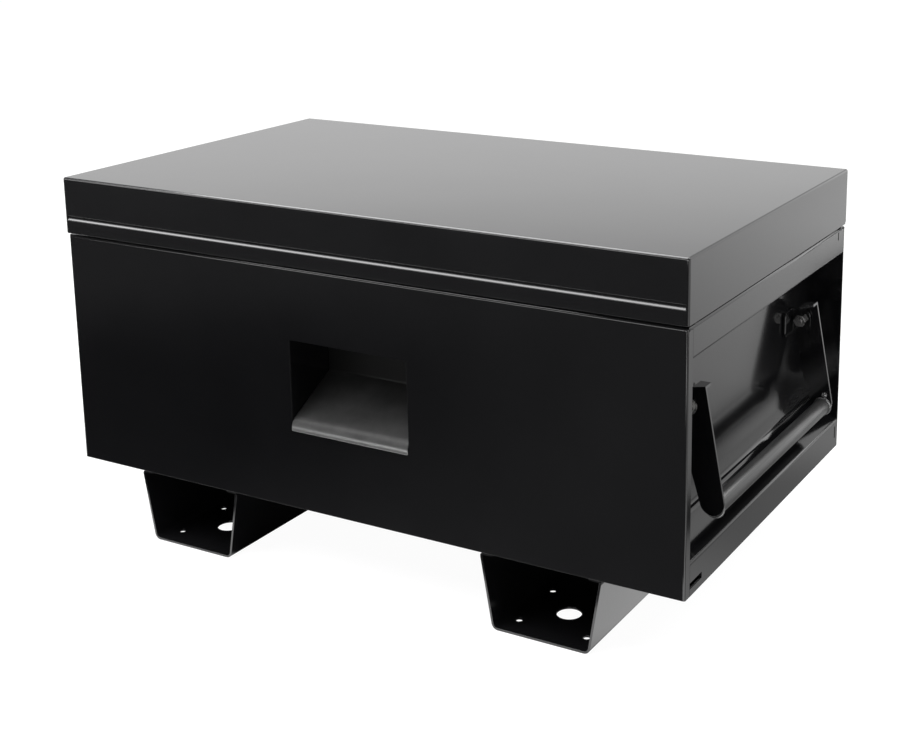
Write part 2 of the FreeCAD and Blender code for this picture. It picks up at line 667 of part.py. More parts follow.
def rod(name, across, up, start, length, diameter):
    """A round bar along X."""
    body = new_body(name)
    end = sketch_on(body, "YZ_Plane", start)
    circle(end, across, up, diameter)
    pad(body, end, length, "One side")
    return body


# Lid.

def lid_pan():
    """A pan with welded corners, a return on three sides and a bead in its front."""
    side, inner = "lid_width / 2", "lid_width / 2 - lid_sheet"
    front_in, back_in = "lid_front + lid_sheet", "lid_back - lid_sheet"
    body = new_body("lid_pan")
    plan = sketch_on(body, "XY_Plane", "lid_z")
    rectangle(plan, f"-{side}", "lid_front", side, "lid_back")
    pad(body, plan, "lid_height", "One side")
    round_along(body, Z, "lid_corner", (side, "lid_front"), (f"-{side}", "lid_front"),
                (side, "lid_back"), (f"-{side}", "lid_back"))
    rim = body.newObject("PartDesign::Fillet", "lid_pan_rim")
    base = body.Shape
    top = number("top_z")
    names = [f"Edge{index}" for index, edge in enumerate(base.Edges, 1)
             if edge.BoundBox.ZMin > top - TOUCH]
    rim.Base = (body.Group[-2], names)
    drive(rim, Radius="lid_edge")
    doc.recompute()
    hollow = sketch_on(body, "XY_Plane", "lid_z")
    rectangle(hollow, f"-({inner} - lid_return)", f"{front_in} + lid_return",
              f"{inner} - lid_return", back_in)
    pocket(body, hollow, "lid_height - lid_sheet", "One side", reverse=True)
    above_return = sketch_on(body, "XY_Plane", "lid_z + lid_sheet")
    rectangle(above_return, f"-({inner})", front_in, inner, back_in)
    pocket(body, above_return, "lid_height - 2 * lid_sheet", "One side", reverse=True)
    rear = sketch_on(body, "XZ_Plane", "-lid_back")
    rectangle(rear, f"-{side} - overcut", "lid_z - overcut", f"{side} + overcut",
              "hinge_z + knuckle_radius + leaf_relief")
    pocket(body, rear, "lid_sheet + leaf_sheet + overcut", "One side", reverse=True)
    ridge = sketch_on(body, "YZ_Plane")
    bead_z = "lid_z + bead_rise"
    polygon(ridge, [
        (front_in, f"{bead_z} - bead_width / 2 - lid_sheet"),
        (front_in, f"{bead_z} + bead_width / 2 + lid_sheet"),
        (f"{front_in} + bead_depth", f"{bead_z} + bead_width / 4"),
        (f"{front_in} + bead_depth", f"{bead_z} - bead_width / 4"),
    ])
    pad(body, ridge, "lid_width - 2 * bead_end")
    groove = sketch_on(body, "YZ_Plane")
    polygon(groove, [
        ("lid_front", f"{bead_z} - bead_width / 2"), ("lid_front", f"{bead_z} + bead_width / 2"),
        ("lid_front + bead_depth", f"{bead_z} + bead_width / 6"),
        ("lid_front + bead_depth", f"{bead_z} - bead_width / 6"),
    ])
    pocket(body, groove, "lid_width - 2 * bead_end")
    node(body)


def lid_stiffeners():
    """Hat channels welded under the lid, front to rear."""
    top, crown = "top_z - lid_sheet", "hat_crown / 2"
    low, inner_low = f"{top} - hat_height", f"{top} - hat_height + hat_sheet"
    right = [(f"{crown} + hat_flange", top), (f"{crown} - hat_sheet", top),
             (f"{crown} - hat_sheet", inner_low)]
    outline = right + [(f"-({across})", up) for across, up in reversed(right)]
    under = [(f"{crown} + hat_flange", f"{top} - hat_sheet"), (crown, f"{top} - hat_sheet"),
             (crown, low)]
    outline += [(f"-({across})", up) for across, up in under] + list(reversed(under))
    body = extruded("right_lid_stiffener", "XZ_Plane", outline,
                    "lid_depth - 2 * (lid_sheet + hat_clearance)",
                    offset="-(lid_front + lid_depth / 2)")
    drive(body, Placement__Base__x="hat_spread / 2")
    node(body)
    mirrored("left_lid_stiffener", body, across_x=True)


# Lid stay: two equal bars riveted at the knee. With the hinge pin they make a rhombus,
# so the body's bar turns with the lid and the lid's bar stays level.

def stay_bar(name, start, pivot_y, pivot_z, turn):
    body = new_body(name)
    plan = sketch_on(body, "YZ_Plane")
    half = "stay_bar / 2"
    rectangle(plan, f"-{half}", f"-{half}", f"stay_reach + {half}", half)
    pad(body, plan, "stay_sheet", "One side")
    round_along(body, X, f"{half} - round_relief", (f"-{half}", f"-{half}"), (f"-{half}", half),
                (f"stay_reach + {half}", f"-{half}"), (f"stay_reach + {half}", half))
    holes = sketch_on(body, "YZ_Plane")
    circle(holes, "0", "0", "rivet_diameter + 2 * rivet_play")
    circle(holes, "stay_reach", "0", "rivet_diameter + 2 * rivet_play")
    pocket(body, holes)
    body.Placement.Rotation = FreeCAD.Rotation(FreeCAD.Vector(1, 0, 0), number(turn))
    drive(body, Placement__Base__x=start, Placement__Base__y=pivot_y,
          Placement__Base__z=pivot_z, Placement__Rotation__Angle=turn)
    node(body)


def rivet(name, across, up, start, end, heads):
    """A rivet along X, with a domed head at each end named in heads."""
    body = rod(name, across, up, start, f"{end} - ({start})", "rivet_diameter")
    if "low" in heads:
        head = sketch_on(body, "YZ_Plane", start)
        circle(head, across, up, "rivet_head")
        pad(body, head, "rivet_head_height", "One side", reverse=True)
    if "high" in heads:
        head = sketch_on(body, "YZ_Plane", end)
        circle(head, across, up, "rivet_head")
        pad(body, head, "rivet_head_height", "One side")
    node(body)


def lid_stay():
    hole = "rivet_diameter + 2 * bolt_seat"
    plate = new_body("stay_body_plate")
    base = sketch_on(plate, "YZ_Plane", "stay_wall")
    half = "stay_pad / 2"
    rectangle(base, f"stay_body_y - {half}", f"stay_body_z - {half}",
              f"stay_body_y + {half}", f"stay_body_z + {half} - slope_rise / 2")
    pad(plate, base, "stay_sheet", "One side")
    bore = sketch_on(plate, "YZ_Plane")
    circle(bore, "stay_body_y", "stay_body_z", hole)
    pocket(plate, bore)
    node(plate)

    top, low = "top_z - lid_sheet", "stay_lid_z - stay_bar / 2"
    bracket = extruded("stay_lid_bracket", "XZ_Plane", [
        ("lid_bracket_x", low), ("lid_bracket_x", top),
        ("lid_bracket_x + stay_foot", top), ("lid_bracket_x + stay_foot", f"{top} - stay_sheet"),
        ("lid_bracket_x + stay_sheet", f"{top} - stay_sheet"), ("lid_bracket_x + stay_sheet", low),
    ], "stay_foot_width", offset="-stay_lid_y")
    round_along(bracket, Y, "stay_sheet + stay_fold", ("lid_bracket_x", top))
    round_along(bracket, Y, "stay_fold", ("lid_bracket_x + stay_sheet", f"{top} - stay_sheet"))
    bore = sketch_on(bracket, "YZ_Plane")
    circle(bore, "stay_lid_y", "stay_lid_z", hole)
    pocket(bracket, bore)
    node(bracket)

    stay_bar("stay_body_bar", "body_link_x", "stay_body_y", "stay_body_z", "180 - stay_lift")
    stay_bar("stay_lid_bar", "lid_link_x", "stay_lid_y", "stay_lid_z", "180 + stay_drop")
    rivet("stay_body_rivet", "stay_body_y", "stay_body_z", "stay_wall",
          "body_link_x + stay_sheet + stay_play", ["high"])
    rivet("stay_lid_rivet", "stay_lid_y", "stay_lid_z", "lid_link_x - stay_play",
          "lid_bracket_x + stay_sheet", ["low", "high"])
    rivet("stay_knee_rivet", "stay_knee_y", "stay_knee_z", "body_link_x - stay_play",
          "lid_link_x + stay_sheet + stay_play", ["low", "high"])


# Drop handles. The right-hand one is drawn upright about its pivot, then leaned.

def lean_out(body):
    body.Placement.Rotation = FreeCAD.Rotation(FreeCAD.Vector(0, -1, 0), number("arm_lean"))
    drive(body, Placement__Base__x="pivot_x", Placement__Base__z="pivot_z",
          Placement__Rotation__Angle="arm_lean")


def handle_arm():
    """A flat arm with a rounded lower end and a tab at its top that stops on the wall."""
    end_left, end_right = "arm_outer - 2 * arm_end_radius", "arm_outer"
    low = "-(arm_reach + arm_end_radius)"
    body = extruded("right_handle_front_arm", "XZ_Plane", [
        ("arm_outer", "tab_rise"), ("tab_inner", "tab_rise"), ("-arm_inner", "arm_shoulder"),
        ("-arm_inner", "-arm_straight"), (end_left, "-arm_reach"), (end_left, low),
        (end_right, low),
    ], "arm_sheet", offset="-arm_front", side="One side", reverse=True)
    round_along(body, Y, "arm_end_radius - round_relief", (end_left, low), (end_right, low))
    round_along(body, Y, "arm_top_radius", ("-arm_inner", "arm_shoulder"))
    tab = sketch_on(body, "XY_Plane", "tab_rise")
    far = "arm_front + tab_length"
    polygon(tab, [
        ("tab_inner", "arm_front"), ("arm_outer", "arm_front"),
        ("arm_outer", f"{far} - tab_slant"), ("tab_inner", far),
    ])
    pad(body, tab, "arm_sheet", "One side", reverse=True)
    bore = sketch_on(body, "XZ_Plane")
    circle(bore, "0", "0", "bolt_diameter + 2 * bolt_play")
    pocket(body, bore)
    lean_out(body)
    return body


def grip_tube():
    body = new_body("right_handle_grip")
    ring = sketch_on(body, "XZ_Plane", "-body_middle")
    circle(ring, "grip_offset", "-grip_reach", "grip_diameter")
    circle(ring, "grip_offset", "-grip_reach", "grip_diameter - 2 * grip_wall")
    pad(body, ring, "arm_spread - arm_sheet")
    lean_out(body)
    return body


def pivot_bracket():
    """An L welded to the recess wall: a base along it and a rounded ear for the bolt."""
    base = "recess_wall + ear_sheet"
    body = extruded("right_front_pivot_bracket", "XY_Plane", [
        ("recess_wall", "ear_front"), ("pivot_x + ear_radius", "ear_front"),
        ("pivot_x + ear_radius", "ear_front + ear_sheet"), (base, "ear_front + ear_sheet"),
        (base, "ear_front + ear_base"), ("recess_wall", "ear_front + ear_base"),
    ], "2 * ear_half", offset="pivot_z")
    high, low = "pivot_z + ear_half", "pivot_z - ear_half"
    round_along(body, Y, "ear_radius", ("pivot_x + ear_radius", high),
                ("pivot_x + ear_radius", low))
    bore = sketch_on(body, "XZ_Plane")
    circle(bore, "pivot_x", "pivot_z", "bolt_diameter + 2 * bolt_seat")
    pocket(body, bore)
    return body


def hexagon(sketch, across, up):
    half = "bolt_flats / 2"
    polygon(sketch, [
        (f"{across} + hex_corner", up), (f"{across} + hex_corner / 2", f"{up} + {half}"),
        (f"{across} - hex_corner / 2", f"{up} + {half}"), (f"{across} - hex_corner", up),
        (f"{across} - hex_corner / 2", f"{up} - {half}"),
        (f"{across} + hex_corner / 2", f"{up} - {half}"),
    ])


def round_bar_y(body, start, length, diameter, cut=False):
    end = sketch_on(body, "XZ_Plane", f"-({start})")
    circle(end, "pivot_x", "pivot_z", diameter)
    if cut:
        pocket(body, end)
    else:
        pad(body, end, length, "One side", reverse=True)


def pivot_fasteners():
    """Bolt, washer and nut at the front arm; the rear arm's are their mirror image."""
    bolt = new_body("right_front_bolt")
    head = sketch_on(bolt, "XZ_Plane", "-arm_front")
    hexagon(head, "pivot_x", "pivot_z")
    pad(bolt, head, "bolt_head", "One side")
    flange = sketch_on(bolt, "XZ_Plane", "-arm_front")
    circle(flange, "pivot_x", "pivot_z", "bolt_flange")
    pad(bolt, flange, "flange_height", "One side")
    stack = "nut_front + nut_height + bolt_tail - arm_front"
    round_bar_y(bolt, "arm_front", stack, "bolt_diameter")

    washer = new_body("right_front_washer")
    round_bar_y(washer, "arm_front + arm_sheet", "washer_height", "washer_diameter")
    round_bar_y(washer, "arm_front", None, "bolt_diameter + 2 * bolt_seat", cut=True)

    nut = new_body("right_front_nut")
    flats = sketch_on(nut, "XZ_Plane", "-nut_front")
    hexagon(flats, "pivot_x", "pivot_z")
    pad(nut, flats, "nut_height", "One side", reverse=True)
    round_bar_y(nut, "arm_front", None, "bolt_diameter + 2 * bolt_seat", cut=True)
    return bolt, washer, nut


def handles():
    front_arm = node(handle_arm())
    rear_arm = mirrored("right_handle_rear_arm", front_arm)
    grip = node(grip_tube())
    front_bracket = node(pivot_bracket())
    rear_bracket = mirrored("right_rear_pivot_bracket", front_bracket)
    right = [front_arm, rear_arm, grip, front_bracket, rear_bracket]
    for kind, front in zip(("bolts", "washers", "nuts"), pivot_fasteners()):
        rear = mirrored(front.Name.replace("front", "rear"), front, show=False)
        right.append(node(group(f"right_handle_{kind}", front, rear)))
    for piece in right:
        mirrored(piece.Label.replace("right", "left"), piece, across_x=True)


def check_all():
    for thing in doc.Objects:
        if "Invalid" in thing.State or "Error" in thing.State:
            raise RuntimeError(f"{thing.Label}: {thing.State}")
    for part in parts:
        if part.Shape.isNull() or not part.Shape.isValid() or not part.Shape.Solids:
            raise RuntimeError(part.Label + " has no sound solid")


fill_sheet()
front_panel()
back_panel()
end_panels()
floor_panel()
pocket_wrap()
pocket_cheeks()
hasp()
skids()
hinge()
lid_pan()
lid_stiffeners()
lid_stay()
handles()
doc.recompute()
check_all()

os.makedirs("parts", exist_ok=True)
for part in parts:
    part.Shape.exportStep(f"parts/{part.Label}.step")
box = Part.makeCompound([part.Shape for part in parts]).BoundBox
print(len(parts), "nodes;", "size", round(box.XLength, 2), round(box.YLength, 2), round(box.ZLength, 2))
print("from", round(box.XMin, 2), round(box.YMin, 2), round(box.ZMin, 2))
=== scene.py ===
import math

import bpy
from mathutils import Matrix, Vector


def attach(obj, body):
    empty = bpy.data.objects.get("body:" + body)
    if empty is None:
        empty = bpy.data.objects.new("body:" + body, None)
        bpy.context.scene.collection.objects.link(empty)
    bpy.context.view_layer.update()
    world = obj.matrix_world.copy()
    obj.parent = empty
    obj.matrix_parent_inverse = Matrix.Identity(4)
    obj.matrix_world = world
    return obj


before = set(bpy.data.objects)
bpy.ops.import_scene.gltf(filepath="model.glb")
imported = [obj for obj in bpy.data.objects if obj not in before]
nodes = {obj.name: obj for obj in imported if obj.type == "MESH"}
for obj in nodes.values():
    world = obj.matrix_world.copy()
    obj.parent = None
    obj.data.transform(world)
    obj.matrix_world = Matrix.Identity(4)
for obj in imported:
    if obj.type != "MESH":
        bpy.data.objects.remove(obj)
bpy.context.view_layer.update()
mm = 0.001


# small helpers

def clearSelection():
    if bpy.context.object and bpy.context.object.mode != "OBJECT":
        bpy.ops.object.mode_set(mode="OBJECT")
    bpy.ops.object.select_all(action="DESELECT")


def pick(piece):
    clearSelection()
    piece.select_set(True)
    bpy.context.view_layer.objects.active = piece


def newMaterial(name, colour, roughness, metallic=0.0):
    material = bpy.data.materials.new(name)
    material.use_nodes = True
    shader = material.node_tree.nodes["Principled BSDF"]
    shader.inputs["Base Color"].default_value = (*colour, 1)
    shader.inputs["Roughness"].default_value = roughness
    shader.inputs["Metallic"].default_value = metallic
    material.diffuse_color = (*colour, 1)
    return material, material.node_tree, shader


# camera

camera = {
    "place": (0.9618, -1.5134, 0.8084),
    "azimuth": 28.45,
    "elevation": 12.48,
    "roll": -0.25,
    "focal": 60.73,
    "sensor": 36.0,
    "shift": (-0.1244, -0.2028),
}


def makeCamera():
    data = bpy.data.cameras.new("camera")
    data.lens = camera["focal"]
    data.sensor_width = camera["sensor"]
    data.sensor_fit = "HORIZONTAL"
    data.shift_x, data.shift_y = camera["shift"]
    data.clip_end = 50
    seat = bpy.data.objects.new("camera", data)
    bpy.context.scene.collection.objects.link(seat)
    turn = Matrix.Rotation(math.radians(camera["azimuth"]), 4, "Z")
    tip = Matrix.Rotation(math.radians(90 - camera["elevation"]), 4, "X")
    roll = Matrix.Rotation(math.radians(camera["roll"]), 4, "Z")
    seat.matrix_world = Matrix.Translation(camera["place"]) @ turn @ tip @ roll
    bpy.context.scene.camera = seat


makeCamera()
print("camera placed")


# studio

# a ramp is (from, to, value before, value after); lengths are in m
studio = {
    "floorSize": 24,
    "floorAlbedo": 0.1,
    "floorGlow": 0.96,
    "bankGlow": 8.0,                    # a low bank of lamps in front
    "softboxes": {
        "overhead": {"place": (-0.7, -0.2, 2.3), "size": (2.6, 2.2), "power": 190},
        "key": {"place": (-1.7, -1.85, 2.3), "size": (2.7, 1.1), "power": 102},
        "right": {"place": (1.5, 0.6, 1.9), "size": (1.2, 1.2), "power": 30},
    },
}
sweep = {
    "middle": (0.4, 0.2, 0),            # the floor grows brighter away from here
    # painted shadow: the mirrored floor is darker close to the box
    "near": (0.1, 0.28, 0.38, 0.62),
    "wide": (0.3, 0.6, 0, 0.2),
    "farOff": (0.6, 1.6, 0, 0.55),
    "turn": 0.9,                        # how far the sweep's front edge is turned to the right
    "frontEdge": (-0.05, 0.3, 0, 1),
    "hollow": {"middle": (-0.65, -0.6, 0), "rim": (0.2, 0.8, 0.01, 0.14)},
    # painted shadow of the box on the mirrored floor, dark under it
    "under": {"middle": (-0.06, 0, 0), "stretch": (1, 1.4, 0), "rim": (0.3, 0.42, 0.04, 1)},
    "apron": {"middle": -0.285, "side": (0.035, 0.065, 2.8, 0)},
    "kick": {"middle": (0.34, -0.1, 0), "stretch": (1, 0.35, 0), "rim": (0.04, 0.1, 1.3, 0)},
    "lampFoot": (-4.4, -3.5),
}
cloth = {
    "foot": 0.397,                      # where its slanting edge crosses the box's middle
    "lean": -3.306,
    "edge": (-0.015, 0.03, 0, 1),
    "middle": 0.675,
    "side": (0.11, 0.135, 0.95, 0),
    "stripMiddle": 0.562,
    "stripSide": (0.018, 0.026, 0.95, 0),
}


def node(tree, kind, **settings):
    made = tree.nodes.new(kind)
    for key, value in settings.items():
        setattr(made, key, value)
    return made


def feed(tree, target, source):
    # a socket is linked, anything else is set as the target's own value
    if isinstance(source, bpy.types.NodeSocket):
        tree.links.new(source, target)
    else:
        target.default_value = source


def objectPlace(tree):
    return node(tree, "ShaderNodeTexCoord").outputs["Object"]


def maths(tree, operation, *values, clamp=False):
    made = node(tree, "ShaderNodeMath", operation=operation, use_clamp=clamp)
    for socket, value in zip(made.inputs, values):
        feed(tree, socket, value)
    return made.outputs[0]


def ramp(tree, value, low, high, start, end, kind="SMOOTHSTEP"):
    made = node(tree, "ShaderNodeMapRange", interpolation_type=kind)
    for socket, source in zip(made.inputs, (value, low, high, start, end)):
        feed(tree, socket, source)
    return made.outputs["Result"]


def distance(tree, position, centre, stretch=(1, 1, 0)):
    shifted = node(tree, "ShaderNodeVectorMath", operation="SUBTRACT")
    feed(tree, shifted.inputs[0], position)
    shifted.inputs[1].default_value = centre
    squeezed = node(tree, "ShaderNodeVectorMath", operation="MULTIPLY")
    feed(tree, squeezed.inputs[0], shifted.outputs[0])
    squeezed.inputs[1].default_value = stretch
    length = node(tree, "ShaderNodeVectorMath", operation="LENGTH")
    feed(tree, length.inputs[0], squeezed.outputs[0])
    return length.outputs["Value"]


def axes(tree, position):
    split = node(tree, "ShaderNodeSeparateXYZ")
    feed(tree, split.inputs[0], position)
    return split.outputs


def away(tree, value, middle):
    return maths(tree, "ABSOLUTE", maths(tree, "SUBTRACT", value, middle))


def clothShade(tree, x, y):
    # black cloths on the floor beside the right end: a slanting one and a narrow strip
    slant = maths(tree, "MULTIPLY_ADD", maths(tree, "SUBTRACT", x, cloth["foot"]),
                  cloth["lean"], y)
    slanting = maths(tree, "MULTIPLY", ramp(tree, slant, *cloth["edge"]),
                     ramp(tree, away(tree, x, cloth["middle"]), *cloth["side"]))
    strip = ramp(tree, away(tree, x, cloth["stripMiddle"]), *cloth["stripSide"])
    return maths(tree, "MAXIMUM", slanting, strip)


def mirroredFloor(tree):
    # what the gloss paint mirrors: a bright sweep behind and to the right, dark in front, with a
    # painted shadow round and under the box
    place = objectPlace(tree)
    x, y = axes(tree, place)[:2]
    far = distance(tree, place, sweep["middle"])
    bright = maths(tree, "ADD", ramp(tree, far, *sweep["near"]), ramp(tree, far, *sweep["wide"]))
    bright = maths(tree, "ADD", bright, ramp(tree, far, *sweep["farOff"], "LINEAR"))
    bright = maths(tree, "MULTIPLY", bright, maths(tree, "SUBTRACT", 1.0, clothShade(tree, x, y)))
    hollow = ramp(tree, distance(tree, place, sweep["hollow"]["middle"]), *sweep["hollow"]["rim"])
    behind = maths(tree, "MULTIPLY_ADD", x, sweep["turn"], y)
    blend = node(tree, "ShaderNodeMix", data_type="FLOAT")
    feed(tree, blend.inputs[0], ramp(tree, behind, *sweep["frontEdge"]))
    feed(tree, blend.inputs[2], hollow)
    feed(tree, blend.inputs[3], bright)
    # painted shadow: the mirrored floor is dark under the box
    under, kick = (ramp(tree, distance(tree, place, patch["middle"], patch["stretch"]),
                        *patch["rim"]) for patch in (sweep["under"], sweep["kick"]))
    # bright strips: one along the foot of the front, a short one by its right corner, the lamps
    apron = ramp(tree, away(tree, y, sweep["apron"]["middle"]), *sweep["apron"]["side"])
    lampFoot = ramp(tree, y, *sweep["lampFoot"], studio["bankGlow"], 0)
    strips = maths(tree, "MAXIMUM", maths(tree, "MAXIMUM", apron, kick), lampFoot)
    return maths(tree, "MAXIMUM", maths(tree, "MULTIPLY", blend.outputs[0], under), strips)


def splitByRay(tree, forPaint, forCamera):
    mix = node(tree, "ShaderNodeMixShader")
    feed(tree, mix.inputs[0], node(tree, "ShaderNodeLightPath").outputs["Is Camera Ray"])
    feed(tree, mix.inputs[1], forPaint)
    feed(tree, mix.inputs[2], forCamera)
    return mix.outputs[0]


def makeFloor():
    clearSelection()
    bpy.ops.mesh.primitive_plane_add(size=studio["floorSize"])
    floor = bpy.context.object
    floor.name = "studioFloor"
    material, tree, shader = newMaterial("studioFloor", (studio["floorAlbedo"],) * 3, 1.0)
    shader.inputs["Specular IOR Level"].default_value = 0
    shader.inputs["Emission Color"].default_value = (1, 1, 1, 1)
    shader.inputs["Emission Strength"].default_value = studio["floorGlow"]
    mirrored = node(tree, "ShaderNodeEmission")
    feed(tree, mirrored.inputs["Strength"], mirroredFloor(tree))
    feed(tree, tree.nodes["Material Output"].inputs["Surface"],
         splitByRay(tree, mirrored.outputs[0], shader.outputs[0]))
    floor.data.materials.append(material)


sky = {
    "forward": (0.15, 1, 0),            # the way from the dark side to the backdrop
    "turn": (-0.1, 0.5),
    "darkSide": 0.2,
    "backdrop": (1.3, 1.5, 1.2),        # low, at the height the lid mirrors, and above it
    "lowStep": (0.15, 0.2),
    "highStep": (0.21, 0.26),
    "rightGlow": (0.05, 0.2, 1, 1.7),   # the backdrop is brighter behind the right end
    "bankFoot": (-0.03, 0.0, 0, 1),
    "bankTop": (0.1, 0.2),
    "bankSides": (-0.8, -0.5, 1, 0),
}


def makeSky():
    # white to the camera, and to the paint bright behind the box and dark in front of it
    world = bpy.data.worlds.new("studioSky")
    bpy.context.scene.world = world
    world.use_nodes = True
    tree = world.node_tree
    tree.nodes.clear()
    outwards = node(tree, "ShaderNodeTexCoord").outputs["Generated"]
    along = node(tree, "ShaderNodeVectorMath", operation="DOT_PRODUCT")
    feed(tree, along.inputs[0], outwards)
    along.inputs[1].default_value = sky["forward"]
    along = along.outputs["Value"]
    x, _, height = axes(tree, outwards)
    low, middle, high = sky["backdrop"]
    rise = ramp(tree, height, *sky["lowStep"], low, middle)
    fall = ramp(tree, height, *sky["highStep"], 0, middle - high)
    backdrop = maths(tree, "MULTIPLY", maths(tree, "SUBTRACT", rise, fall),
                     ramp(tree, x, *sky["rightGlow"]))
    around = ramp(tree, along, *sky["turn"], sky["darkSide"], backdrop)
    # the low bank in front draws a line along every edge that is rolled over
    bank = maths(tree, "MULTIPLY", ramp(tree, height, *sky["bankFoot"]),
                 ramp(tree, height, *sky["bankTop"], studio["bankGlow"], 0))
    bank = maths(tree, "MULTIPLY", bank, ramp(tree, along, *sky["bankSides"]))
    glow = node(tree, "ShaderNodeBackground")
    feed(tree, glow.inputs["Strength"], maths(tree, "ADD", around, bank))
    white = node(tree, "ShaderNodeBackground")
    white.inputs["Color"].default_value = (1, 1, 1, 1)
    feed(tree, node(tree, "ShaderNodeOutputWorld").inputs["Surface"],
         splitByRay(tree, glow.outputs[0], white.outputs[0]))


def makeSoftboxes():
    for name, box in studio["softboxes"].items():
        data = bpy.data.lights.new(name, "AREA")
        data.shape = "RECTANGLE"
        data.size, data.size_y = box["size"]
        data.energy = box["power"]
        light = bpy.data.objects.new(name, data)
        light.location = box["place"]
        bpy.context.scene.collection.objects.link(light)


makeFloor()
makeSky()
makeSoftboxes()
bpy.context.scene.view_settings.view_transform = "Standard"
print("studio lit")


# finishes

powder = {
    "peelSize": 2.2,        # mm, from one ripple of the orange peel to the next
    "peelDepth": 0.012,     # mm
    "waveSize": 140,        # mm, slow waves in the sheet
    "waveDepth": 0.16,      # mm
    "smudgeSize": 90,       # mm, patches where the gloss is duller
    "roughness": 0.12,
    "spread": 0.05,         # how much the roughness changes from patch to patch
}


def newGroup(name, inputs, outputs):
    tree = bpy.data.node_groups.new(name, "ShaderNodeTree")
    for label, value in inputs.items():
        socket = tree.interface.new_socket(label, in_out="INPUT", socket_type="NodeSocketFloat")
        socket.default_value = value
    for label, kind in outputs.items():
        tree.interface.new_socket(label, in_out="OUTPUT", socket_type=kind)
    return tree, node(tree, "NodeGroupInput"), node(tree, "NodeGroupOutput")


def noise(tree, position, size, detail, roughness=0.5):
    # size is in mm, from crest to crest
    made = node(tree, "ShaderNodeTexNoise")
    feed(tree, made.inputs["Vector"], position)
    feed(tree, made.inputs["Scale"], maths(tree, "DIVIDE", 1 / mm, size))
    made.inputs["Detail"].default_value = detail
    made.inputs["Roughness"].default_value = roughness
    return made.outputs["Fac"]


def makeSurfaceGroup():
    # the skin of a sprayed or plated part: fine peel, slow waves and duller patches
    tree, given, result = newGroup("surfaceSkin", {
        "Peel Size": powder["peelSize"], "Peel Depth": powder["peelDepth"],
        "Wave Size": powder["waveSize"], "Wave Depth": powder["waveDepth"],
        "Smudge Size": powder["smudgeSize"],
        "Roughness": powder["roughness"], "Spread": powder["spread"],
    }, {"Height": "NodeSocketFloat", "Roughness": "NodeSocketFloat", "Patch": "NodeSocketFloat"})
    place = objectPlace(tree)
    peel = noise(tree, place, given.outputs["Peel Size"], 1.0)
    wave = noise(tree, place, given.outputs["Wave Size"], 0.0)
    patch = noise(tree, place, given.outputs["Smudge Size"], 4.0, 0.6)
    peelHeight = maths(tree, "MULTIPLY", peel, given.outputs["Peel Depth"])
    waveHeight = maths(tree, "MULTIPLY", wave, given.outputs["Wave Depth"])
    feed(tree, result.inputs["Height"], maths(tree, "ADD", peelHeight, waveHeight))
    swing = maths(tree, "MULTIPLY", maths(tree, "SUBTRACT", patch, 0.5), given.outputs["Spread"])
    feed(tree, result.inputs["Roughness"],
         maths(tree, "ADD", given.outputs["Roughness"], swing, clamp=True))
    feed(tree, result.inputs["Patch"], patch)
    return tree


surfaceSkin = makeSurfaceGroup()


def mixColours(tree, factor, first, second):
    mix = node(tree, "ShaderNodeMix", data_type="RGBA")
    for label, source in (("Factor", factor), ("A", first), ("B", second)):
        feed(tree, mix.inputs[label], source)
    return mix.outputs["Result"]


# sizes and depths of the skin are in mm; dark and light are the colours of its patches
finishValues = {
    "glossBlackPaint": {
        "dark": (0.0022, 0.0022, 0.0025), "light": (0.0042, 0.0042, 0.0046),
        "skin": {"Wave Depth": 0.16, "Roughness": 0.11, "Spread": 0.04}},
    # the grips are rubbed satin by gloves
    "gripBlackPaint": {
        "dark": (0.018, 0.018, 0.018), "light": (0.028, 0.028, 0.028),
        "skin": {"Peel Size": 1.6, "Peel Depth": 0.01, "Wave Depth": 0.0,
                 "Smudge Size": 24.0, "Roughness": 0.36, "Spread": 0.16}},
    # paint is thin on the ripples of a weld, so that they glint
    "weldBlack": {
        "light": (0.16, 0.16, 0.16), "metallic": 0.7,
        "skin": {"Peel Size": 1.1, "Peel Depth": 0.008, "Wave Depth": 0.0,
                 "Smudge Size": 9.0, "Roughness": 0.14, "Spread": 0.1}},
    "hingeBlackPaint": {
        "dark": (0.006, 0.006, 0.0065), "light": (0.011, 0.011, 0.0115),
        "skin": {"Wave Depth": 0.02, "Roughness": 0.22, "Spread": 0.12}},
    "blackOxide": {
        "dark": (0.14, 0.138, 0.136), "light": (0.27, 0.267, 0.262), "metallic": 0.9,
        "skin": {"Peel Size": 0.6, "Peel Depth": 0.006, "Wave Depth": 0.0,
                 "Smudge Size": 6.0, "Roughness": 0.28, "Spread": 0.2}},
    "zincPlate": {
        "dark": (0.42, 0.42, 0.40), "light": (0.66, 0.66, 0.64), "metallic": 1.0,
        "skin": {"Peel Size": 0.9, "Peel Depth": 0.006, "Wave Depth": 0.0,
                 "Smudge Size": 14.0, "Roughness": 0.36, "Spread": 0.3}},
    "pocketBlackPaint": {
        "dark": (0.003, 0.003, 0.003), "light": (0.038, 0.038, 0.038),
        "skin": {"Peel Size": 1.4, "Peel Depth": 0.02, "Wave Depth": 0.02,
                 "Smudge Size": 30.0, "Roughness": 0.42, "Spread": 0.12}},
}


def startFinish(name):
    values = finishValues[name]
    material, tree, shader = newMaterial(name, values["light"], values["skin"]["Roughness"],
                                         values.get("metallic", 0.0))
    skin = node(tree, "ShaderNodeGroup", node_tree=surfaceSkin)
    for label, value in values["skin"].items():
        skin.inputs[label].default_value = value
    # heights in the group are in mm, so the bump's distance is one mm
    bump = node(tree, "ShaderNodeBump")
    bump.inputs["Distance"].default_value = mm
    feed(tree, bump.inputs["Height"], skin.outputs["Height"])
    feed(tree, shader.inputs["Normal"], bump.outputs["Normal"])
    feed(tree, shader.inputs["Roughness"], skin.outputs["Roughness"])
    return material, tree, shader, skin


def patchColour(tree, name, factor):
    values = finishValues[name]
    return mixColours(tree, factor, (*values["dark"], 1), (*values["light"], 1))


